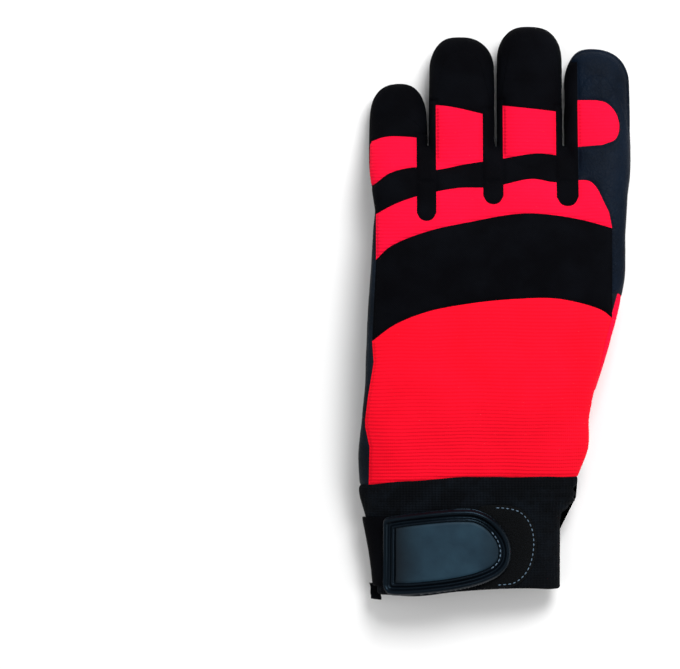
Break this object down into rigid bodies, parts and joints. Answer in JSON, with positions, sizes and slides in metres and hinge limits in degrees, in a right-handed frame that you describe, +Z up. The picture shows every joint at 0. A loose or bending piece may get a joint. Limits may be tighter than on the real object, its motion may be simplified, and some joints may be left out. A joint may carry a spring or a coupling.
{
  "type": "chainsaw glove",
  "caption": "Left-hand chainsaw work glove with leather palm, padded palm patches, stretch back and wrist strap, lying palm down with the thumb folded under.",
  "frame": {"origin": "middle of the box's base, on the surface that the glove lies on", "axes": "+X towards the index finger and thumb side, +Y from the cuff towards the fingertips, +Z up, out of the back of the hand"},
  "size_m": [0.1276, 0.2686, 0.0421],
  "materials": {
    "red": "ribbed stretch cloth",
    "black": "stretch cloth",
    "leather": "grained synthetic leather",
    "pad": "padded synthetic leather",
    "rubber": "moulded, satin",
    "field": "smooth, satin"
  },
  "bodies": {
    "root": {"fourchette_little_ring": "black", "fourchette_ring_middle": "black", "fourchette_middle_index": "black", "back_panel": "red", "back_band": "black", "knuckle_panel": "red", "little_cap": "black", "little_back": "red", "little_stripe": "black", "ring_cap": "black", "ring_back": "red", "ring_stripe": "black", "middle_cap": "black", "middle_back": "red", "middle_stripe": "black", "index_back": "red", "index_flex_lower": "black", "index_flex_upper": "black", "index_leather": "leather", "little_front": "black", "ring_front": "black", "middle_front": "black", "thumb_back": "red", "thumb_front": "leather", "palm": "leather", "heel_pad_outer": "pad", "heel_pad_thumb": "pad", "upper_pad": "pad", "side_pad": "pad", "little_tip_pad": "pad", "ring_tip_pad": "pad", "middle_tip_pad": "pad", "ring_middle_pad": "pad", "middle_middle_pad": "pad", "cuff": "black", "loop_patch": "black", "wrist_strap": "black", "strap_tab": "rubber", "tab_field": "field", "seam_tail": "black"}
  },
  "joints": []
}
